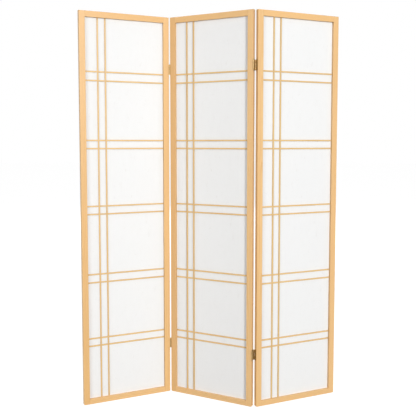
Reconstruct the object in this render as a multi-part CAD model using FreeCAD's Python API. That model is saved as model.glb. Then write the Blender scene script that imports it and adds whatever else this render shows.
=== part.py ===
import FreeCAD, Part
import math
import os

# Folding shoji screen: three paper panels in pale wood frames, joined by two-way hinges and
# standing in a zigzag.  Millimetres.  +Z is up and the lattice side faces -Y.  The origin is the
# middle of the screen's outline on the floor.  A panel is built in its own frame: x from its
# left edge, y from its front face to its back, z from the floor.

os.makedirs("parts", exist_ok=True)

Vector = FreeCAD.Vector
UP = Vector(0, 0, 1)

# --- panel ------------------------------------------------------------------------------
PANEL_HEIGHT = 1829.0
PANEL_WIDTH = 438.0
PANEL_THICKNESS = 19.0
STILE_WIDTH = 28.0
TOP_RAIL_HEIGHT = 27.0
BOTTOM_RAIL_HEIGHT = 25.0
FOOT_ROUND = 5.0            # outer bottom corner of a stile
ARRIS = 0.8                 # eased edges of the frame

# --- frame joints: rail tenons in blind stile mortises ------------------------------------
TENON_THICKNESS = 6.0
TENON_SHOULDER = 5.0        # wood above and below a rail's tenon
MORTISE_WALL = 8.0          # wood left between a mortise and the stile's outer edge
MORTISE_END_GAP = 0.5
JOINT_CLEARANCE = 0.05      # all round a tenon or a lap

# --- lattice ------------------------------------------------------------------------------
BAR_WIDTH = 6.4
BAR_DEPTH = 4.4
BAR_ARRIS = 0.3
LATTICE_SETBACK = 7.6       # bars stand this far behind the frame's front face
FIRST_UPRIGHT = 60.0        # stile's inner edge to the middle of the first upright bar
UPRIGHT_SPACING = 36.4
CROSS_LEVELS = (0.1609, 0.3270, 0.5025, 0.6697, 0.8408)  # pairs' middles, parts of the height
CROSS_SPACINGS = (35.9, 38.6, 37.6, 37.6, 40.6)          # between the two bars of each pair
BAR_TENON_LENGTH = 6.0
BAR_TENON_SHOULDER = 1.0    # step from a bar's face to its tenon

# --- paper and the beads that hold it in the rebate ---------------------------------------
PAPER_THICKNESS = 0.3
REBATE_WIDTH = 8.0
PAPER_MARGIN = 1.0          # paper stops short of the rebate's wall
BEAD_CLEARANCE = 0.1
BEAD_RECESS = 0.5           # beads lie below the frame's back face
BEAD_ARRIS = 0.5

# --- two-way hinges -----------------------------------------------------------------------
HINGE_GAP = 5.0             # between two panels' edges when the screen is flat
HINGE_FROM_END = 246.0      # hinge's middle to the panel's top or bottom
HINGE_HEIGHT = 48.0
PIN_PROUD = 1.0             # pin axes stand this far off the panel faces
PIN_RADIUS = 1.1
PIN_END = 0.9               # pin shows this far past its barrel
RUNNING_CLEARANCE = 0.05    # pin in its knuckles
LEAF_THICKNESS = 1.2
LEAF_MARGIN = 2.0           # leaf's edge to the panel's face
LINK_CLEARANCE = 0.6        # leaf to link
BARREL_CLEARANCE = 0.2      # barrel to the panel edges' planes
KNUCKLE_GAP = 0.3           # between knuckles on one pin
LEAF_CORNER = 2.0

# --- hinge screws -------------------------------------------------------------------------
SCREW_RADIUS = 1.1
SCREW_LENGTH = 13.0
SCREW_TIP = 2.5
SCREW_HEAD_RADIUS = 2.1
SCREW_CLEARANCE = 0.05
SCREW_RECESS_DEPTH = 0.6
SCREW_RECESS_WIDTH = 0.5
SCREW_RECESS_SPAN = 2.2
SCREW_SPACING = 15.0        # along the leaf
SCREW_STAGGER = 2.2         # outer screws stand this far off the leaf's middle line

# --- how the screen stands: headings of the panels, in degrees ----------------------------
LEFT_HEADING = 25.8
MIDDLE_HEADING = -28.5
RIGHT_HEADING = 25.5

# --- worked out ---------------------------------------------------------------------------
right_stile_edge = PANEL_WIDTH - STILE_WIDTH
top_rail_edge = PANEL_HEIGHT - TOP_RAIL_HEIGHT
rebate_depth = LATTICE_SETBACK + BAR_DEPTH
lap_depth = LATTICE_SETBACK + BAR_DEPTH / 2
tenon_front = (rebate_depth - TENON_THICKNESS) / 2
tenon_length = STILE_WIDTH - MORTISE_WALL - MORTISE_END_GAP
upright_places = [STILE_WIDTH + FIRST_UPRIGHT + i * UPRIGHT_SPACING for i in range(2)]
cross_places = [[level * PANEL_HEIGHT + side * spacing / 2 for side in (-1, 1)]
                for level, spacing in zip(CROSS_LEVELS, CROSS_SPACINGS)]
half_gap = HINGE_GAP / 2
barrel_radius = half_gap - BARREL_CLEARANCE
bore_radius = PIN_RADIUS + RUNNING_CLEARANCE
front_axis = -PIN_PROUD
back_axis = PANEL_THICKNESS + PIN_PROUD
link_thickness = HINGE_GAP - 2 * (LEAF_THICKNESS + LINK_CLEARANCE)
knuckle_height = (HINGE_HEIGHT - 2 * KNUCKLE_GAP) / 3
hinge_places = {"lower": HINGE_FROM_END, "upper": PANEL_HEIGHT - HINGE_FROM_END}
screw_offsets = ((-SCREW_SPACING, SCREW_STAGGER), (0, 0), (SCREW_SPACING, SCREW_STAGGER))


def near(a, b):
    """True where two coordinates are the same."""
    return abs(a - b) < 1e-6


def box(x0, x1, y0, y1, z0, z1):
    """Straight block between three pairs of coordinates."""
    return Part.makeBox(x1 - x0, y1 - y0, z1 - z0, Vector(x0, y0, z0))


def rod(radius, x, y, z0, z1):
    """Round bar standing along Z."""
    return Part.makeCylinder(radius, z1 - z0, Vector(x, y, z0), UP)


def edges_where(shape, test):
    """Edges of the shape whose ends all pass the test."""
    return [edge for edge in shape.Edges if all(test(v.Point) for v in edge.Vertexes)]


def runs_along(edge, axis):
    """True for a straight edge along the named axis."""
    start, end = (v.Point for v in edge.Vertexes)
    return near((end - start).Length, abs(getattr(end - start, axis)))


# --- frame --------------------------------------------------------------------------------

def rebate():
    """Step round the back of the opening that takes the paper and its beads."""
    return box(STILE_WIDTH - REBATE_WIDTH, right_stile_edge + REBATE_WIDTH,
               rebate_depth, PANEL_THICKNESS + 1,
               BOTTOM_RAIL_HEIGHT - REBATE_WIDTH, top_rail_edge + REBATE_WIDTH)


def rail_tenons(z0, z1, loose, extra_length):
    """Both tenons of a rail, or with looseness the mortises that take them."""
    length = tenon_length + extra_length
    y0 = tenon_front - loose
    y1 = tenon_front + TENON_THICKNESS + loose
    low = z0 + TENON_SHOULDER - loose
    high = z1 - TENON_SHOULDER + loose
    return [box(STILE_WIDTH - length, STILE_WIDTH, y0, y1, low, high),
            box(right_stile_edge, right_stile_edge + length, y0, y1, low, high)]


def bar_section(middle, loose):
    """Width of a bar's tenon about its middle."""
    half = BAR_WIDTH / 2 - BAR_TENON_SHOULDER + loose
    return middle - half, middle + half


def bar_tenon_depths(loose):
    """Front and back of a bar's tenon."""
    return (LATTICE_SETBACK + BAR_TENON_SHOULDER - loose,
            rebate_depth - BAR_TENON_SHOULDER + loose)


def upright_tenons(x, loose, extra_length):
    """Tenons at the ends of an upright bar, or the mortises that take them."""
    x0, x1 = bar_section(x, loose)
    y0, y1 = bar_tenon_depths(loose)
    length = BAR_TENON_LENGTH + extra_length
    return [box(x0, x1, y0, y1, BOTTOM_RAIL_HEIGHT - length, BOTTOM_RAIL_HEIGHT),
            box(x0, x1, y0, y1, top_rail_edge, top_rail_edge + length)]


def cross_tenons(z, loose, extra_length):
    """Tenons at the ends of a cross bar, or the mortises that take them."""
    z0, z1 = bar_section(z, loose)
    y0, y1 = bar_tenon_depths(loose)
    length = BAR_TENON_LENGTH + extra_length
    return [box(STILE_WIDTH - length, STILE_WIDTH, y0, y1, z0, z1),
            box(right_stile_edge, right_stile_edge + length, y0, y1, z0, z1)]


def stile_mortises():
    """Pockets in the stiles for the rails and the cross bars."""
    pockets = rail_tenons(0, BOTTOM_RAIL_HEIGHT, JOINT_CLEARANCE, MORTISE_END_GAP)
    pockets += rail_tenons(top_rail_edge, PANEL_HEIGHT, JOINT_CLEARANCE, MORTISE_END_GAP)
    for pair in cross_places:
        for z in pair:
            pockets += cross_tenons(z, JOINT_CLEARANCE, MORTISE_END_GAP)
    return pockets


def rail_mortises():
    """Pockets in the rails for the upright bars."""
    pockets = []
    for x in upright_places:
        pockets += upright_tenons(x, JOINT_CLEARANCE, MORTISE_END_GAP)
    return pockets


def stile(x0, outer_edge, screw_holes):
    """Upright of the frame: foot corner rounded, outline eased, mortised and rebated."""
    body = box(x0, x0 + STILE_WIDTH, 0, PANEL_THICKNESS, 0, PANEL_HEIGHT)
    foot = edges_where(body, lambda p: near(p.x, outer_edge) and near(p.z, 0))
    body = body.makeFillet(FOOT_ROUND, foot)
    outline = edges_where(body, lambda p: near(p.y, 0))
    outline += edges_where(body, lambda p: near(p.y, PANEL_THICKNESS))
    body = body.makeFillet(ARRIS, outline)
    return body.cut([rebate()] + stile_mortises() + screw_holes)


def rail(z0, z1):
    """Cross rail between the stiles, with its tenons, long edges eased."""
    body = box(STILE_WIDTH, right_stile_edge, 0, PANEL_THICKNESS, z0, z1)
    long_edges = [edge for edge in body.Edges if runs_along(edge, "x")]
    body = body.makeFillet(ARRIS, long_edges)
    body = body.fuse(rail_tenons(z0, z1, 0, 0))
    return body.cut([rebate()] + rail_mortises())


# --- lattice ------------------------------------------------------------------------------

def eased_bar(x0, x1, z0, z1, axis):
    """Lattice bar with its two front edges eased."""
    body = box(x0, x1, LATTICE_SETBACK, rebate_depth, z0, z1)
    front = edges_where(body, lambda p: near(p.y, LATTICE_SETBACK))
    return body.makeFillet(BAR_ARRIS, [edge for edge in front if runs_along(edge, axis)])


def upright_bar(x):
    """Upright lattice bar, halved from the back where each cross bar passes."""
    half = BAR_WIDTH / 2
    body = eased_bar(x - half, x + half, BOTTOM_RAIL_HEIGHT, top_rail_edge, "z")
    body = body.fuse(upright_tenons(x, 0, 0))
    reach = half + JOINT_CLEARANCE
    laps = [box(x - reach, x + reach, lap_depth, rebate_depth + 1, z - reach, z + reach)
            for pair in cross_places for z in pair]
    return body.cut(laps)


def cross_bar(z):
    """Cross lattice bar, halved from the front where each upright bar passes."""
    half = BAR_WIDTH / 2
    body = eased_bar(STILE_WIDTH, right_stile_edge, z - half, z + half, "x")
    body = body.fuse(cross_tenons(z, 0, 0))
    reach = half + JOINT_CLEARANCE
    laps = [box(x - reach, x + reach, LATTICE_SETBACK - 1, lap_depth, z - reach, z + reach)
            for x in upright_places]
    return body.cut(laps)


# --- paper and beads ----------------------------------------------------------------------

def paper():
    """Sheet that lies on the back of the lattice and in the rebate."""
    inset = REBATE_WIDTH - PAPER_MARGIN
    return box(STILE_WIDTH - inset, right_stile_edge + inset,
               rebate_depth, rebate_depth + PAPER_THICKNESS,
               BOTTOM_RAIL_HEIGHT - inset, top_rail_edge + inset)


def bead(x0, x1, z0, z1, axis):
    """Thin strip that clamps the paper, with its back edges eased."""
    back = PANEL_THICKNESS - BEAD_RECESS
    body = box(x0, x1, rebate_depth + PAPER_THICKNESS, back, z0, z1)
    rear = edges_where(body, lambda p: near(p.y, back))
    return body.makeFillet(BEAD_ARRIS, [edge for edge in rear if runs_along(edge, axis)])


def beads():
    """The four strips of a panel: two full-height ones and two between them."""
    reach = REBATE_WIDTH - BEAD_CLEARANCE
    left, right = STILE_WIDTH - reach, right_stile_edge + reach
    bottom, top = BOTTOM_RAIL_HEIGHT - reach, top_rail_edge + reach
    inner_left, inner_right = left + reach, right - reach
    return {
        "left_bead": bead(left, inner_left, bottom, top, "z"),
        "right_bead": bead(inner_right, right, bottom, top, "z"),
        "bottom_bead": bead(inner_left + BEAD_CLEARANCE, inner_right - BEAD_CLEARANCE,
                            bottom, bottom + reach, "x"),
        "top_bead": bead(inner_left + BEAD_CLEARANCE, inner_right - BEAD_CLEARANCE,
                         top - reach, top, "x"),
    }


# --- hinges: x from the middle of the gap, y from the panels' front faces, z from mid-height

def knuckle(axis, z0, z1):
    """Solid barrel of one knuckle about a pin axis."""
    return rod(barrel_radius, 0, axis, z0, z1)


def pin_bore(axis):
    """Clear way for the pin through every knuckle."""
    return rod(bore_radius, 0, axis, -HINGE_HEIGHT, HINGE_HEIGHT)


def screw(loose):
    """Countersunk screw along -X with its head's face at x = 0, or the hole it needs."""
    along = Vector(-1, 0, 0)
    radius = SCREW_RADIUS + loose
    head_radius = SCREW_HEAD_RADIUS + loose
    head_depth = SCREW_HEAD_RADIUS - SCREW_RADIUS
    shank_end = SCREW_LENGTH - SCREW_TIP
    head = Part.makeCone(head_radius, radius, head_depth, Vector(0, 0, 0), along)
    shank = Part.makeCylinder(radius, shank_end - head_depth, Vector(-head_depth, 0, 0), along)
    tip = Part.makeCone(radius, loose, SCREW_TIP + loose, Vector(-shank_end, 0, 0), along)
    return head.fuse([shank, tip]).removeSplitter()


def cross_recess():
    """Cross-shaped driver slot in a screw's head."""
    half = SCREW_RECESS_WIDTH / 2
    span = SCREW_RECESS_SPAN / 2
    return [box(-SCREW_RECESS_DEPTH, 1, -half, half, -span, span),
            box(-SCREW_RECESS_DEPTH, 1, -span, span, -half, half)]


def leaf_screws(loose):
    """The screws of a leaf on a left-hand panel, or their holes."""
    face = -half_gap + LEAF_THICKNESS
    shape = screw(loose)
    if not loose:
        shape = shape.cut(cross_recess())
    placed = []
    for z, stagger in screw_offsets:
        copy = shape.copy()
        copy.translate(Vector(face, PANEL_THICKNESS / 2 + stagger, z))
        placed.append(copy)
    return placed


def leaf():
    """Leaf on a left-hand panel's edge, with end knuckles that carry the front pin."""
    x0, x1 = -half_gap, -half_gap + LEAF_THICKNESS
    half = HINGE_HEIGHT / 2
    far_edge = PANEL_THICKNESS - LEAF_MARGIN
    plate = box(x0, x1, LEAF_MARGIN, far_edge, -half, half)
    corners = edges_where(plate, lambda p: near(p.y, far_edge))
    plate = plate.makeFillet(LEAF_CORNER, [edge for edge in corners if runs_along(edge, "x")])
    pieces = []
    for z0, z1 in ((-half, -half + knuckle_height), (half - knuckle_height, half)):
        pieces.append(box(x0, x1, front_axis, LEAF_MARGIN, z0, z1))
        pieces.append(knuckle(front_axis, z0, z1))
    body = plate.fuse(pieces).removeSplitter()
    return body.cut([pin_bore(front_axis)] + leaf_screws(SCREW_CLEARANCE))


def link():
    """Plate between the two leaves, with a middle knuckle on each pin."""
    half_thick = link_thickness / 2
    half = HINGE_HEIGHT / 2
    reach = barrel_radius + LINK_CLEARANCE
    web = box(-half_thick, half_thick, front_axis + reach, back_axis - reach, -half, half)
    mid = knuckle_height / 2
    tongue = box(-half_thick, half_thick, front_axis, back_axis, -mid, mid)
    body = web.fuse([tongue, knuckle(front_axis, -mid, mid), knuckle(back_axis, -mid, mid)])
    return body.removeSplitter().cut([pin_bore(front_axis), pin_bore(back_axis)])


def pin(axis):
    """Hinge pin with rounded ends."""
    half = HINGE_HEIGHT / 2 + PIN_END
    body = rod(PIN_RADIUS, 0, axis, -half, half)
    rims = [edge for edge in body.Edges if edge.Closed]
    return body.makeFillet(PIN_RADIUS / 2, rims)


def turned_over(shape):
    """The same piece turned half round Z about the middle of the gap, for the other panel."""
    copy = shape.copy()
    copy.rotate(Vector(0, PANEL_THICKNESS / 2, 0), UP, 180)
    return copy


def moved(shape, x, z):
    """Copy shifted along X and Z."""
    copy = shape.copy()
    copy.translate(Vector(x, 0, z))
    return copy


# --- where the panels stand ---------------------------------------------------------------

def heading(angle):
    """Turn about the vertical."""
    return FreeCAD.Rotation(UP, angle)


def hung_on(parent, parent_point, angle, own_point):
    """Place of a panel at a heading, with its own point on a point of its parent."""
    target = parent.multVec(parent_point)
    turn = heading(angle)
    return FreeCAD.Placement(target - turn.multVec(own_point), turn)


left_edge_front_pin = Vector(-half_gap, front_axis, 0)
left_edge_back_pin = Vector(-half_gap, back_axis, 0)
right_edge_front_pin = Vector(PANEL_WIDTH + half_gap, front_axis, 0)
right_edge_back_pin = Vector(PANEL_WIDTH + half_gap, back_axis, 0)

middle_place = FreeCAD.Placement(Vector(0, 0, 0), heading(MIDDLE_HEADING))
left_place = hung_on(middle_place, left_edge_front_pin, LEFT_HEADING, right_edge_front_pin)
right_place = hung_on(middle_place, right_edge_back_pin, RIGHT_HEADING, left_edge_back_pin)

nodes = {}


def add(name, shapes, place):
    """Keep the placed solids of one node."""
    nodes[name] = [shape.transformed(place.toMatrix()) for shape in shapes]


# joint name, left-hand panel, right-hand panel
JOINTS = (("left", "left_panel", "middle_panel"), ("right", "middle_panel", "right_panel"))
PLACES = {"left_panel": left_place, "middle_panel": middle_place, "right_panel": right_place}
left_hand_x = PANEL_WIDTH + half_gap
right_hand_x = -half_gap
holes = leaf_screws(SCREW_CLEARANCE)
screws = leaf_screws(0)

for panel, place in PLACES.items():
    screw_holes = {"left": [], "right": []}
    screw_set = []
    for joint, left_hand, right_hand in JOINTS:
        for z in hinge_places.values():
            if panel == left_hand:
                screw_holes["right"] += [moved(s, left_hand_x, z) for s in holes]
                screw_set += [moved(s, left_hand_x, z) for s in screws]
            if panel == right_hand:
                screw_holes["left"] += [moved(turned_over(s), right_hand_x, z) for s in holes]
                screw_set += [moved(turned_over(s), right_hand_x, z) for s in screws]
    add(panel + "_left_stile", [stile(0, 0, screw_holes["left"])], place)
    add(panel + "_right_stile",
        [stile(right_stile_edge, PANEL_WIDTH, screw_holes["right"])], place)
    add(panel + "_bottom_rail", [rail(0, BOTTOM_RAIL_HEIGHT)], place)
    add(panel + "_top_rail", [rail(top_rail_edge, PANEL_HEIGHT)], place)
    add(panel + "_upright_bars", [upright_bar(x) for x in upright_places], place)
    for number, pair in enumerate(cross_places, start=1):
        add(f"{panel}_cross_bars_{number}", [cross_bar(z) for z in pair], place)
    add(panel + "_paper", [paper()], place)
    for name, strip in beads().items():
        add(panel + "_" + name, [strip], place)
    add(panel + "_hinge_screws", screw_set, place)

for joint, left_hand, right_hand in JOINTS:
    link_x = right_hand_x if right_hand == "middle_panel" else left_hand_x
    links = [moved(link(), link_x, z) for z in hinge_places.values()]
    pins = [moved(pin(axis), link_x, z) for z in hinge_places.values()
            for axis in (front_axis, back_axis)]
    add(joint + "_hinge_links", links, middle_place)
    add(joint + "_hinge_pins", pins, middle_place)
    for level, z in hinge_places.items():
        add(f"{joint}_{level}_hinge_front_leaf", [moved(leaf(), left_hand_x, z)],
            PLACES[left_hand])
        add(f"{joint}_{level}_hinge_back_leaf", [moved(turned_over(leaf()), right_hand_x, z)],
            PLACES[right_hand])

# --- origin under the middle of the whole outline, then one file per node -----------------
whole = FreeCAD.BoundBox()
for shapes in nodes.values():
    for shape in shapes:
        whole.add(shape.optimalBoundingBox(False))
shift = Vector(-whole.Center.x, -whole.Center.y, -whole.ZMin)

for name, shapes in nodes.items():
    for shape in shapes:
        shape.translate(shift)
        if not shape.isValid() or len(shape.Solids) != 1:
            raise RuntimeError(name + " is not one sound solid")
    piece = shapes[0] if len(shapes) == 1 else Part.makeCompound(shapes)
    piece.exportStep("parts/" + name + ".step")

print(len(nodes), "nodes, size", [round(v, 2) for v in (whole.XLength, whole.YLength,
                                                         whole.ZLength)])
for label, point in (("left back pins", left_edge_back_pin),
                     ("left front pins", left_edge_front_pin),
                     ("right front pins", right_edge_front_pin),
                     ("right back pins", right_edge_back_pin)):
    axis_point = middle_place.multVec(point) + shift
    print(label, round(axis_point.x, 4), round(axis_point.y, 4))
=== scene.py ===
"""Looks of a folding shoji screen: pine frames and lattice, fibrous paper, aged brass hinges.

Metres.  +Z is up, the lattice side faces -Y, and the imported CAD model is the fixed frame.
"""
import math

import bpy
import numpy as np
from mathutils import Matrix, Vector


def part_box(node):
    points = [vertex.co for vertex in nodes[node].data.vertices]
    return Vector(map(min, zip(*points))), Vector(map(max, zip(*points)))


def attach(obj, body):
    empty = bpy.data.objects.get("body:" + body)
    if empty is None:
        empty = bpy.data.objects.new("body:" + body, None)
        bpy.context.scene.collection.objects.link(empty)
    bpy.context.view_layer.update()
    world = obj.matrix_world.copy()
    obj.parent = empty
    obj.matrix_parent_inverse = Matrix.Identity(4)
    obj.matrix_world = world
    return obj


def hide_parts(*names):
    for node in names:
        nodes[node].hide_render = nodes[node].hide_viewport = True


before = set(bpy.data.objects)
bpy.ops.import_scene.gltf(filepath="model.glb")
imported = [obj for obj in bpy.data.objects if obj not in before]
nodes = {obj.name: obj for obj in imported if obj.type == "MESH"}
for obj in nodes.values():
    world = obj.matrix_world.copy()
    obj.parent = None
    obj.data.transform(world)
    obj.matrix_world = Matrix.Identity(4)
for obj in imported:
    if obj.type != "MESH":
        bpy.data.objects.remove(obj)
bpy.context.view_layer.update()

MM = 0.001

# --- how the panels stand: headings in degrees, and the places of their bars from the left edge
HEADINGS = {"left_panel": 25.8, "middle_panel": -28.5, "right_panel": 25.5}
PANEL_WIDTH, PANEL_HEIGHT = 438 * MM, 1829 * MM
STILE_WIDTH, TOP_RAIL, BOTTOM_RAIL = 28 * MM, 27 * MM, 25 * MM
BAR_HALF = 3.2 * MM
UPRIGHT_PLACES = (88.0 * MM, 124.4 * MM)
CROSS_LEVELS = (0.1609, 0.3270, 0.5025, 0.6697, 0.8408)
CROSS_SPACINGS = (35.9 * MM, 38.6 * MM, 37.6 * MM, 37.6 * MM, 40.6 * MM)
SHEET_WIDTH, SHEET_HEIGHT, SHEET_THICKNESS = 396 * MM, 1791 * MM, 0.3 * MM
SHEET_STEPS = (57, 256)                     # grid points across and up a sheet
FREE_AFTER, DEEPEST_BELLY = 11 * MM, 0.45 * MM

# --- finishes and painted corner shade, linear colour
PINE_EARLY = (0.83, 0.51, 0.215, 1)
PINE_LATE = (0.70, 0.37, 0.12, 1)
PAPER_WHITE = (0.92, 0.923, 0.919, 1)
PAPER_FIBRE = (0.80, 0.79, 0.77, 1)
# Painted shade colours that the inner corners of wood and paper are darkened towards.
PAINTED_SHADE_BROWN = (0.16, 0.085, 0.035, 1)
PAINTED_SHADE_GREY = (0.42, 0.40, 0.37, 1)
BRASS_BRIGHT = (0.78, 0.55, 0.25, 1)
BRASS_TARNISH = (0.24, 0.165, 0.075, 1)

# How much painted shade darkens a closed corner, by kind of piece; most where the inner sides
# face away from the light.
CORNER_PAINTED_SHADE = {"top_rail": 0.95, "right_stile": 0.85, "left_stile": 0.35}
# Painted shade in the corners of the other wood pieces and of the paper.
WOOD_PAINTED_SHADE, PAPER_PAINTED_SHADE = 0.5, 0.15
WOOD_CORNER, PAPER_CORNER = 20 * MM, 25 * MM   # how near another piece makes a corner
CORNERS_FROM, CORNERS_TO = BOTTOM_RAIL - 5 * MM, BOTTOM_RAIL + 15 * MM   # heights they start at

# --- studio: places in metres, lamp width in metres, power in watts
WORLD_AROUND, WORLD_BEHIND = 0.32, 1.25
LAMPS = (("key_right", (5.33, -10.46, 3.40), 2.4, 792),
         ("fill_left", (-3.59, -6.62, 2.25), 3.0, 141),
         ("soft_behind", (0.0, 9.0, 4.0), 3.0, 350))
LAMP_AIM = (0.0, 0.0, 0.9)
FLOOR_REACH, FLOOR_GREY, FLOOR_GLOW = 40.0, 0.40, 0.82
CAMERA_PLACE, CAMERA_TILT = (-0.0152, -3.1901, 1.2301), -4.487   # tilt in degrees from level
LENS_LENGTH, LENS_RISE = 58.51, -0.02785    # millimetres on a 36 mm frame; share of its width


# --- small helpers for shader trees --------------------------------------------------------

def put(tree, kind, inputs=None, **settings):
    """Node of a kind, its inputs given as values or as the output sockets that feed them."""
    made = tree.nodes.new("ShaderNode" + kind)
    for name, value in settings.items():
        setattr(made, name, value)
    for key, value in (inputs or {}).items():
        if isinstance(value, bpy.types.NodeSocket):
            tree.links.new(value, made.inputs[key])
        else:
            made.inputs[key].default_value = value
    return made


def calc(tree, operation, *values, clamp=False):
    """Result of a Math node."""
    return put(tree, "Math", dict(enumerate(values)), operation=operation,
               use_clamp=clamp).outputs[0]


def vector(tree, operation, *values):
    """Vector result of a Vector Math node."""
    return put(tree, "VectorMath", dict(enumerate(values)), operation=operation).outputs[0]


def spread(tree, value, low, high, to_low=0.0, to_high=1.0):
    """Value carried from one range to another and held inside it, with soft ends."""
    inputs = {"Value": value, "From Min": low, "From Max": high,
              "To Min": to_low, "To Max": to_high}
    return put(tree, "MapRange", inputs, interpolation_type="SMOOTHSTEP").outputs[0]


def blend_colour(tree, share, first, second, kind="MIX"):
    """Colour mix by share."""
    node = put(tree, "Mix", data_type="RGBA", blend_type=kind)
    for key, value in ((0, share), (6, first), (7, second)):
        if isinstance(value, bpy.types.NodeSocket):
            tree.links.new(value, node.inputs[key])
        else:
            node.inputs[key].default_value = value
    return node.outputs[2]


def noise(tree, point, scales, detail=2.0, roughness=0.5):
    """Noise from 0 to 1 with its own scale along each axis, per metre."""
    stretched = vector(tree, "MULTIPLY", point, scales)
    return put(tree, "TexNoise", {"Vector": stretched, "Scale": 1.0, "Detail": detail,
                                  "Roughness": roughness}).outputs["Fac"]


def group(name, inputs, outputs):
    """Empty node group with named sockets, and its input and output nodes."""
    tree = bpy.data.node_groups.new(name, "ShaderNodeTree")
    for title, kind, value in inputs:
        socket = tree.interface.new_socket(title, in_out="INPUT", socket_type="NodeSocket" + kind)
        if value is not None:
            socket.default_value = value
    for title, kind in outputs:
        tree.interface.new_socket(title, in_out="OUTPUT", socket_type="NodeSocket" + kind)
    given = tree.nodes.new("NodeGroupInput").outputs
    return tree, given, tree.nodes.new("NodeGroupOutput").inputs


def seen_share(tree):
    """1 where the eye, a reflection or clear glass looks, and 0 where light is gathered."""
    path = put(tree, "LightPath").outputs
    return calc(tree, "MAXIMUM", path["Is Camera Ray"],
                calc(tree, "MAXIMUM", path["Is Glossy Ray"], path["Is Transmission Ray"]))


# --- shared effects ------------------------------------------------------------------------

def pine_figure():
    """Pine cut from a log: growth rings round a far pith, fibre streaks and dark flecks.

    The point has Z along the grain.  Ring number = distance from the pith's line / ring gap,
    with the line leaning and the distance wandering; its fraction runs pale, amber, pale.
    """
    tree, given, out = group(
        "pine_figure",
        [("Point", "Vector", None), ("Pith", "Vector", (0.06, 0.05, 0.0)),
         ("Ring Gap", "Float", 0.0024), ("Early", "Color", PINE_EARLY),
         ("Late", "Color", PINE_LATE), ("End Grain", "Float", 0.0), ("Worn", "Float", 0.0)],
        [("Colour", "Color"), ("Roughness", "Float"), ("Height", "Float")])
    point = given["Point"]
    wander = put(tree, "TexNoise", {"Vector": vector(tree, "MULTIPLY", point, (11, 11, 1.7)),
                                    "Scale": 1.0, "Detail": 2.0}).outputs["Color"]
    wander = vector(tree, "MULTIPLY", vector(tree, "SUBTRACT", wander, (0.5, 0.5, 0.5)),
                    (0.016, 0.016, 0))
    along = put(tree, "SeparateXYZ", {0: point}).outputs["Z"]
    lean = put(tree, "CombineXYZ", {"X": calc(tree, "MULTIPLY", along, 0.011),
                                    "Y": calc(tree, "MULTIPLY", along, -0.007)}).outputs[0]
    across = vector(tree, "SUBTRACT", vector(tree, "ADD", vector(tree, "ADD", point, wander),
                                             lean), given["Pith"])
    across = vector(tree, "MULTIPLY", across, (1, 1, 0))
    radius = put(tree, "VectorMath", {0: across}, operation="LENGTH").outputs["Value"]
    rings = calc(tree, "DIVIDE", radius, given["Ring Gap"])
    uneven = put(tree, "TexNoise", {"W": calc(tree, "MULTIPLY", radius, 90.0), "Scale": 1.0,
                                    "Detail": 1.0}, noise_dimensions="1D").outputs["Fac"]
    rings = calc(tree, "ADD", rings, calc(tree, "MULTIPLY", uneven, 2.2))
    phase = calc(tree, "FRACT", rings)
    rise = spread(tree, phase, 0.30, 0.90)
    fall = spread(tree, phase, 0.93, 1.0, 1.0, 0.0)
    late = calc(tree, "MULTIPLY", rise, fall)
    strength = spread(tree, noise(tree, point, (30, 30, 1.2), 1.0), 0.3, 0.7, 0.35, 1.0)
    late = calc(tree, "MULTIPLY", late, strength)

    streaks = noise(tree, point, (750, 750, 7), 3.0, 0.6)
    flecks = spread(tree, noise(tree, point, (1700, 1700, 55), 1.0), 0.64, 0.74)
    clouds = noise(tree, point, (16, 16, 2.1), 2.0)

    share = calc(tree, "MULTIPLY", late, 0.62)
    share = calc(tree, "ADD", share, calc(tree, "MULTIPLY",
                                          calc(tree, "SUBTRACT", streaks, 0.5), 0.55))
    share = calc(tree, "ADD", share, calc(tree, "MULTIPLY", given["End Grain"], 0.30),
                 clamp=True)
    colour = blend_colour(tree, share, given["Early"], given["Late"])
    shade = calc(tree, "ADD", 0.93, calc(tree, "MULTIPLY", clouds, 0.14))
    shade = calc(tree, "SUBTRACT", shade, calc(tree, "MULTIPLY", flecks, 0.13))
    shade = calc(tree, "SUBTRACT", shade, calc(tree, "MULTIPLY", given["End Grain"], 0.16))
    shade = calc(tree, "ADD", shade, calc(tree, "MULTIPLY", given["Worn"], 0.05))
    grey = put(tree, "CombineColor", {0: shade, 1: shade, 2: shade}).outputs[0]
    tree.links.new(blend_colour(tree, 1.0, colour, grey, "MULTIPLY"), out["Colour"])

    rough = calc(tree, "ADD", 0.40, calc(tree, "MULTIPLY", streaks, 0.16))
    rough = calc(tree, "SUBTRACT", rough, calc(tree, "MULTIPLY", late, 0.07))
    rough = calc(tree, "ADD", rough, calc(tree, "MULTIPLY", given["End Grain"], 0.18))
    rough = calc(tree, "ADD", rough, calc(tree, "MULTIPLY", given["Worn"], 0.08), clamp=True)
    tree.links.new(rough, out["Roughness"])

    height = calc(tree, "ADD", calc(tree, "MULTIPLY", streaks, 0.5),
                  calc(tree, "MULTIPLY", late, 0.35))
    height = calc(tree, "SUBTRACT", height, calc(tree, "MULTIPLY", flecks, 0.6))
    tree.links.new(height, out["Height"])
    return tree


def rubbed_edges():
    """Mask of outer edges: where a normal rounded over a small radius leaves the face's own."""
    tree, given, out = group("rubbed_edges",
                             [("Radius", "Float", 0.001), ("Point", "Vector", None),
                              ("Patch Size", "Float", 40.0)],
                             [("Mask", "Float")])
    rounded = put(tree, "Bevel", {"Radius": given["Radius"]}, samples=4).outputs[0]
    flat = put(tree, "NewGeometry").outputs["Normal"]
    facing = put(tree, "VectorMath", {0: rounded, 1: flat}, operation="DOT_PRODUCT")
    edge = spread(tree, facing.outputs["Value"], 0.995, 0.80)
    patches = put(tree, "TexNoise", {"Vector": given["Point"], "Scale": given["Patch Size"],
                                     "Detail": 3.0}).outputs["Fac"]
    tree.links.new(calc(tree, "MULTIPLY", edge, spread(tree, patches, 0.35, 0.65, 0.25, 1.0)),
                   out["Mask"])
    return tree


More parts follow.
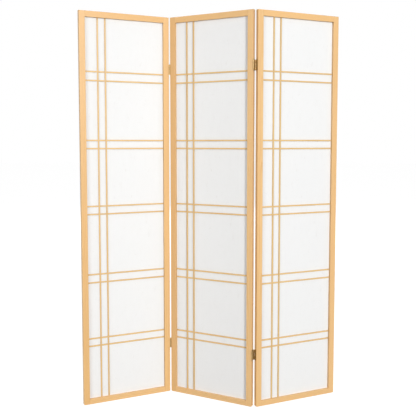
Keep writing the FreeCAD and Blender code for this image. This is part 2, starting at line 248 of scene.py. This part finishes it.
def painted_corner_shade():
    """Mask of painted shade in inner corners: 1 less the openness within reach.

    It fades out towards the floor, so that the floor doesn't count as a corner.
    """
    tree, given, out = group("painted_corner_shade", [("Reach", "Float", 0.02)], [("Mask", "Float")])
    openness = put(tree, "AmbientOcclusion", {"Distance": given["Reach"]}, samples=8)
    closed = calc(tree, "SUBTRACT", 1.0, openness.outputs["AO"], clamp=True)
    height = put(tree, "SeparateXYZ", {0: put(tree, "TexCoord").outputs["Object"]}).outputs["Z"]
    above_floor = spread(tree, height, CORNERS_FROM, CORNERS_TO)
    tree.links.new(calc(tree, "MULTIPLY", closed, above_floor), out["Mask"])
    return tree


def paper_fibres():
    """Fibrous paper: upright laid streaks, soft clouds and long fibres.

    A fibre is the thin line where a smooth noise crosses its middle value, broken into
    lengths by a second noise.  X runs across the panel and Z up it.
    """
    tree, given, out = group("paper_fibres",
                             [("Point", "Vector", None), ("Sheet", "Color", PAPER_WHITE),
                              ("Fibre", "Color", PAPER_FIBRE)],
                             [("Colour", "Color"), ("Roughness", "Float"), ("Height", "Float")])
    point = given["Point"]
    streaks = noise(tree, point, (420, 420, 6), 3.0, 0.65)
    clouds = noise(tree, point, (55, 55, 22), 3.0, 0.6)
    felt = noise(tree, point, (2200, 2200, 1500), 2.0)
    lines = []
    for scales, width, seed in (((70, 70, 16), 0.006, 0.0), ((38, 38, 30), 0.0045, 3.7),
                                ((110, 110, 70), 0.008, 8.1)):
        moved = vector(tree, "ADD", point, (seed, seed, seed))
        level = noise(tree, moved, scales, 1.0)
        thin = calc(tree, "ABSOLUTE", calc(tree, "SUBTRACT", level, 0.5))
        line = spread(tree, thin, width, width * 0.25)
        lengths = noise(tree, vector(tree, "ADD", moved, (5.3, 1.9, 2.2)), (45, 45, 28), 1.0)
        lines.append(calc(tree, "MULTIPLY", line, spread(tree, lengths, 0.52, 0.60)))
    fibres = calc(tree, "MAXIMUM", calc(tree, "MAXIMUM", lines[0], lines[1]), lines[2])

    share = calc(tree, "MULTIPLY", fibres, 0.42)
    share = calc(tree, "ADD", share, calc(tree, "MULTIPLY",
                                          calc(tree, "SUBTRACT", streaks, 0.45), 0.34))
    share = calc(tree, "ADD", share, calc(tree, "MULTIPLY",
                                          calc(tree, "SUBTRACT", clouds, 0.5), 0.22), clamp=True)
    tree.links.new(blend_colour(tree, share, given["Sheet"], given["Fibre"]), out["Colour"])
    tree.links.new(calc(tree, "ADD", 0.80, calc(tree, "MULTIPLY", felt, 0.14)),
                   out["Roughness"])
    height = calc(tree, "ADD", calc(tree, "MULTIPLY", fibres, 0.7),
                  calc(tree, "MULTIPLY", streaks, 0.5))
    height = calc(tree, "ADD", height, calc(tree, "MULTIPLY", felt, 0.35))
    tree.links.new(height, out["Height"])
    return tree


def brass_age():
    """Aged brass: brown tarnish in patches, rubbed bright on edges, with upright scratches."""
    tree, given, out = group("brass_age",
                             [("Point", "Vector", None), ("Worn", "Float", 0.0),
                              ("Age", "Float", 0.5), ("Bright", "Color", BRASS_BRIGHT),
                              ("Tarnish", "Color", BRASS_TARNISH)],
                             [("Colour", "Color"), ("Roughness", "Float"), ("Height", "Float")])
    point = given["Point"]
    patches = noise(tree, point, (160, 160, 110), 4.0, 0.6)
    specks = spread(tree, noise(tree, point, (1900, 1900, 1900), 2.0), 0.60, 0.72)
    scratches = noise(tree, point, (2600, 2600, 60), 2.0)
    age = calc(tree, "ADD", given["Age"], calc(tree, "MULTIPLY",
                                               calc(tree, "SUBTRACT", patches, 0.5), 1.1))
    age = calc(tree, "ADD", age, calc(tree, "MULTIPLY", specks, 0.18))
    age = calc(tree, "SUBTRACT", age, calc(tree, "MULTIPLY", given["Worn"], 0.75), clamp=True)
    tree.links.new(blend_colour(tree, age, given["Bright"], given["Tarnish"]), out["Colour"])
    rough = calc(tree, "ADD", 0.26, calc(tree, "MULTIPLY", age, 0.26))
    rough = calc(tree, "ADD", rough, calc(tree, "MULTIPLY", scratches, 0.12))
    tree.links.new(rough, out["Roughness"])
    height = calc(tree, "SUBTRACT", calc(tree, "MULTIPLY", scratches, 0.5),
                  calc(tree, "MULTIPLY", specks, 0.5))
    tree.links.new(height, out["Height"])
    return tree


# CORNERS is the mask of painted shade in inner corners.
PINE, EDGES, CORNERS = pine_figure(), rubbed_edges(), painted_corner_shade()
FIBRES, AGE = paper_fibres(), brass_age()


# --- materials -----------------------------------------------------------------------------

def finish_named(name):
    """New material with its tree and its Principled shader."""
    material = bpy.data.materials.new(name)
    material.use_nodes = True
    shader = next(n for n in material.node_tree.nodes if n.type == "BSDF_PRINCIPLED")
    return material, material.node_tree, shader


def place_group(tree, made, inputs):
    """A shared group placed in a material with its own values."""
    node = put(tree, "Group", node_tree=made)
    for key, value in inputs.items():
        if isinstance(value, bpy.types.NodeSocket):
            tree.links.new(value, node.inputs[key])
        else:
            node.inputs[key].default_value = value
    return node.outputs


def local_point(tree, centre, heading, lying):
    """Object coordinates turned to a piece: X across it, Y through it, Z along its length."""
    turn = (0, math.radians(90 if lying else 0), math.radians(heading))
    object_point = put(tree, "TexCoord").outputs["Object"]
    return put(tree, "Mapping", {"Vector": object_point, "Location": centre,
                                 "Rotation": turn}, vector_type="TEXTURE").outputs[0]


def bumped(tree, shader, height, strength, distance):
    """Fine relief on the shader's normal."""
    bump = put(tree, "Bump", {"Strength": strength, "Distance": distance, "Height": height})
    tree.links.new(bump.outputs[0], shader.inputs["Normal"])


def pine(name, centre, heading, lying, pith, ring_gap, tone, painted_shade):
    """Clear satin pine for one piece, with its own pith, ring gap, tone and strength of painted
    shade in its inner corners.
    """
    material, tree, shader = finish_named(name)
    point = local_point(tree, centre, heading, lying)
    worn = place_group(tree, EDGES, {"Radius": 1.1 * MM, "Point": point})["Mask"]
    early = tuple(c * t for c, t in zip(PINE_EARLY[:3], tone)) + (1,)
    late = tuple(c * t for c, t in zip(PINE_LATE[:3], tone)) + (1,)
    values = {"Point": point, "Pith": pith, "Ring Gap": ring_gap, "Early": early,
              "Late": late, "Worn": worn}
    if not lying:
        normal = put(tree, "TexCoord").outputs["Normal"]
        upward = calc(tree, "ABSOLUTE", put(tree, "SeparateXYZ", {0: normal}).outputs["Z"])
        values["End Grain"] = spread(tree, upward, 0.7, 0.95)
    figure = place_group(tree, PINE, values)
    # Painted shade: the inner corners are darkened towards brown.
    corners = place_group(tree, CORNERS, {"Reach": WOOD_CORNER})["Mask"]
    colour = blend_colour(tree, calc(tree, "MULTIPLY", corners, painted_shade),
                          figure["Colour"], PAINTED_SHADE_BROWN)
    tree.links.new(colour, shader.inputs["Base Color"])
    tree.links.new(figure["Roughness"], shader.inputs["Roughness"])
    shader.inputs["Coat Weight"].default_value = 0.35
    shader.inputs["Coat Roughness"].default_value = 0.22
    bumped(tree, shader, figure["Height"], 0.35, 0.12 * MM)
    return material


def fibrous_paper(name, centre, heading):
    """Matte white paper with long fibres, and painted shade in its inner corners."""
    material, tree, shader = finish_named(name)
    point = local_point(tree, centre, heading, False)
    sheet = place_group(tree, FIBRES, {"Point": point})
    # Painted shade: the sheet's inner corners are darkened towards grey.
    corners = place_group(tree, CORNERS, {"Reach": PAPER_CORNER})["Mask"]
    colour = blend_colour(tree, calc(tree, "MULTIPLY", corners, PAPER_PAINTED_SHADE),
                          sheet["Colour"], PAINTED_SHADE_GREY)
    tree.links.new(colour, shader.inputs["Base Color"])
    tree.links.new(sheet["Roughness"], shader.inputs["Roughness"])
    shader.inputs["Specular IOR Level"].default_value = 0.25
    bumped(tree, shader, sheet["Height"], 0.30, 0.08 * MM)
    return material


def aged_brass(name, age, patch):
    """Aged brass with rubbed edges."""
    material, tree, shader = finish_named(name)
    point = put(tree, "TexCoord").outputs["Object"]
    worn = place_group(tree, EDGES, {"Radius": 0.5 * MM, "Point": point,
                                     "Patch Size": patch})["Mask"]
    metal = place_group(tree, AGE, {"Point": point, "Worn": worn, "Age": age})
    tree.links.new(metal["Colour"], shader.inputs["Base Color"])
    tree.links.new(metal["Roughness"], shader.inputs["Roughness"])
    shader.inputs["Metallic"].default_value = 1.0
    bumped(tree, shader, metal["Height"], 0.25, 0.05 * MM)
    return material


# --- paper sheets --------------------------------------------------------------------------

def shoji_sheet(name, centre, heading):
    """Closed thin sheet that bellies a little between the bars it lies on.

    On a grid (u, v) across and up the panel, depth = sign * half the thickness + belly.
    belly = clear(u) * clear(v) * waves * the deepest belly, where clear is the product over
    the bars, and the frame's opening, of 1 - exp(-(distance to it / FREE_AFTER)^2), and waves
    is a sum of four slow sines whose heights add up to 1.
    """
    left = -SHEET_WIDTH / 2
    edge_to_left = PANEL_WIDTH / 2 + left
    uprights = np.array(UPRIGHT_PLACES) - edge_to_left
    middle_height = (BOTTOM_RAIL + PANEL_HEIGHT - TOP_RAIL) / 2
    crosses = np.array([level * PANEL_HEIGHT + side * spacing / 2
                        for level, spacing in zip(CROSS_LEVELS, CROSS_SPACINGS)
                        for side in (-1, 1)])
    u = np.linspace(0, SHEET_WIDTH, SHEET_STEPS[0])
    v = np.linspace(-SHEET_HEIGHT / 2, SHEET_HEIGHT / 2, SHEET_STEPS[1])
    grid_u, grid_v = np.meshgrid(u, v, indexing="ij")

    def clear(along, bars, low, high):
        distance = np.maximum(np.abs(along[..., None] - bars) - BAR_HALF, 0)
        away = np.prod(1 - np.exp(-(distance / FREE_AFTER) ** 2), axis=-1)
        inside = np.maximum(np.minimum(along - low, high - along), 0)
        return away * (1 - np.exp(-(inside / FREE_AFTER) ** 2))

    opening = STILE_WIDTH - edge_to_left
    height = grid_v + middle_height
    belly = (clear(grid_u, uprights, opening, SHEET_WIDTH - opening)
             * clear(height, crosses, BOTTOM_RAIL, PANEL_HEIGHT - TOP_RAIL))
    seed = math.radians(heading) * 7
    waves = (0.40 * np.sin(21 * grid_u + 5 * grid_v + seed)
             + 0.28 * np.sin(9 * grid_u - 14 * grid_v + 2.1 * seed)
             + 0.20 * np.sin(37 * grid_u + 11 * grid_v + 0.7)
             + 0.12 * np.sin(46 * grid_u - 23 * grid_v + 1.9 * seed))
    belly = belly * waves * DEEPEST_BELLY

    turn = math.radians(heading)
    across = np.array((math.cos(turn), math.sin(turn), 0))
    through = np.array((-math.sin(turn), math.cos(turn), 0))
    layers = []
    for side in (-1, 1):
        depth = belly + side * SHEET_THICKNESS / 2
        layers.append((np.asarray(centre) + (grid_u[..., None] + left) * across
                       + depth[..., None] * through + grid_v[..., None] * np.array((0, 0, 1))))
    points = np.stack(layers).reshape(-1, 3)

    rows, columns = grid_u.shape
    index = np.arange(2 * rows * columns).reshape(2, rows, columns)

    def quads(grid, flip):
        corners = [grid[:-1, :-1], grid[1:, :-1], grid[1:, 1:], grid[:-1, 1:]]
        return np.stack(corners[::-1] if flip else corners, -1).reshape(-1, 4)

    faces = np.vstack([quads(index[0], False), quads(index[1], True),
                       quads(index[:, 0, :], False), quads(index[:, -1, :], True),
                       quads(index[:, :, 0], True), quads(index[:, :, -1], False)])
    mesh = bpy.data.meshes.new(name)
    mesh.from_pydata(points.tolist(), [], faces.tolist())
    mesh.validate()
    mesh.update()
    broad_faces = 2 * (rows - 1) * (columns - 1)
    mesh.polygons.foreach_set("use_smooth", np.arange(len(faces)) < broad_faces)
    sheet = bpy.data.objects.new(name, mesh)
    bpy.context.scene.collection.objects.link(sheet)
    return sheet


def middle_of(node):
    """Centre of a CAD node."""
    low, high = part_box(node)
    return tuple((low + high) / 2)


# Tone factor of each frame board: red, green, blue.
BOARD_TONES = {
    "left_panel_left_stile": (0.985, 0.965, 0.90), "left_panel_right_stile": (1.01, 1.0, 0.98),
    "left_panel_top_rail": (1.0, 0.98, 0.90), "left_panel_bottom_rail": (1.045, 1.07, 1.10),
    "middle_panel_left_stile": (0.955, 0.945, 0.925),
    "middle_panel_right_stile": (1.03, 1.07, 1.12),
    "middle_panel_top_rail": (1.06, 1.075, 1.09), "middle_panel_bottom_rail": (1.03, 1.055, 1.11),
    "right_panel_left_stile": (1.045, 1.045, 1.06),
    "right_panel_right_stile": (1.02, 1.045, 1.08),
    "right_panel_top_rail": (1.055, 1.08, 1.08), "right_panel_bottom_rail": (1.01, 1.045, 1.11)}
BAR_TONE, BEAD_TONE = (0.935, 1.02, 1.0), (1.02, 1.035, 1.05)

# --- dress the screen ----------------------------------------------------------------------
chance = np.random.default_rng(7)

HINGE_BRASS = aged_brass("hinge_brass_aged", 0.62, 90.0)
SCREW_BRASS = aged_brass("screw_brass_aged", 0.45, 400.0)

for name in sorted(nodes):
    panel = next((p for p in HEADINGS if name.startswith(p)), None)
    if name.endswith("_paper"):
        continue
    if name.endswith("_hinge_screws"):
        nodes[name].material_slots[0].material = SCREW_BRASS
    elif panel is None:
        nodes[name].material_slots[0].material = HINGE_BRASS
    else:
        lying = any(word in name for word in ("rail", "cross_bars", "top_bead", "bottom_bead"))
        turn = chance.uniform(0, 2 * math.pi)
        far = chance.uniform(0.035, 0.11)
        pith = (far * math.cos(turn), far * math.sin(turn), 0.0)
        gap = chance.uniform(1.9, 2.9) * MM
        tone = ((1 + chance.uniform(-0.025, 0.025) + chance.uniform(-0.012, 0.012, 3))
                * BOARD_TONES.get(name, BAR_TONE if "_bars" in name else BEAD_TONE))
        # Strength of the painted corner shade for this kind of piece.
        painted_shade = CORNER_PAINTED_SHADE.get(name.removeprefix(panel + "_"), WOOD_PAINTED_SHADE)
        nodes[name].material_slots[0].material = pine(
            name + "_pine", middle_of(name), HEADINGS[panel], lying, pith, gap, tone, painted_shade)

for panel, heading in HEADINGS.items():
    centre = middle_of(panel + "_paper")
    sheet = shoji_sheet(panel + "_shoji_paper", centre, heading)
    sheet.data.materials.append(fibrous_paper(panel + "_paper_white", centre, heading))
    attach(sheet, panel)
    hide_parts(panel + "_paper")

# --- floor, light and camera ---------------------------------------------------------------

def pale_floor():
    """Wide white floor that takes the screen's shadow."""
    reach = FLOOR_REACH
    mesh = bpy.data.meshes.new("studio_floor")
    mesh.from_pydata([(-reach, -reach, 0), (reach, -reach, 0), (reach, reach, 0),
                      (-reach, reach, 0)], [], [(0, 1, 2, 3)])
    floor = bpy.data.objects.new("studio_floor", mesh)
    bpy.context.scene.collection.objects.link(floor)
    material, tree, shader = finish_named("studio_floor_white")
    shader.inputs["Base Color"].default_value = (FLOOR_GREY, FLOOR_GREY, FLOOR_GREY, 1)
    shader.inputs["Roughness"].default_value = 0.9
    shader.inputs["Specular IOR Level"].default_value = 0.0
    glow = put(tree, "Emission",
               {"Color": (1, 1, 1, 1),
                "Strength": calc(tree, "MULTIPLY", seen_share(tree), FLOOR_GLOW)})
    both = put(tree, "AddShader", {0: shader.outputs[0], 1: glow.outputs[0]})
    end = next(n for n in tree.nodes if n.type == "OUTPUT_MATERIAL")
    tree.links.new(both.outputs[0], end.inputs["Surface"])
    mesh.materials.append(material)


def studio_world(around, behind):
    """Soft white light, stronger from behind for the backs; plain white where it is seen."""
    world = bpy.data.worlds.new("studio_light")
    bpy.context.scene.world = world
    world.use_nodes = True
    tree = world.node_tree
    tree.nodes.clear()
    direction = put(tree, "TexCoord").outputs["Generated"]
    backward = put(tree, "SeparateXYZ", {0: direction}).outputs["Y"]
    lit = spread(tree, backward, 0.4, 0.9, around, behind)
    level = put(tree, "Mix", {0: seen_share(tree), 2: lit, 3: 1.0}).outputs[0]
    back = put(tree, "Background", {"Color": (1, 1, 1, 1), "Strength": level})
    end = put(tree, "OutputWorld")
    tree.links.new(back.outputs[0], end.inputs["Surface"])


def lamp(name, place, aim, size, power):
    """Square soft lamp at a place, turned to its aim."""
    light = bpy.data.lights.new(name, "AREA")
    light.shape = "SQUARE"
    light.size = size
    light.energy = power
    made = bpy.data.objects.new(name, light)
    made.location = place
    made.visible_camera = False
    gaze = np.subtract(aim, place)
    distance = float(np.linalg.norm(gaze))
    yaw = math.atan2(gaze[1], gaze[0])
    pitch = math.asin(gaze[2] / distance)
    made.rotation_euler = (pitch + math.pi / 2, 0, yaw - math.pi / 2)
    bpy.context.scene.collection.objects.link(made)


pale_floor()
studio_world(WORLD_AROUND, WORLD_BEHIND)
for name, place, size, power in LAMPS:
    lamp(name, place, LAMP_AIM, size, power)

camera_data = bpy.data.cameras.new("camera")
camera_data.sensor_width = 36
camera_data.lens = LENS_LENGTH
camera_data.shift_y = LENS_RISE
camera_data.clip_end = 200
camera = bpy.data.objects.new("camera", camera_data)
camera.location = CAMERA_PLACE
camera.rotation_euler = (math.radians(90 + CAMERA_TILT), 0, 0)
bpy.context.scene.collection.objects.link(camera)
bpy.context.scene.camera = camera
bpy.context.scene.view_settings.view_transform = "Standard"
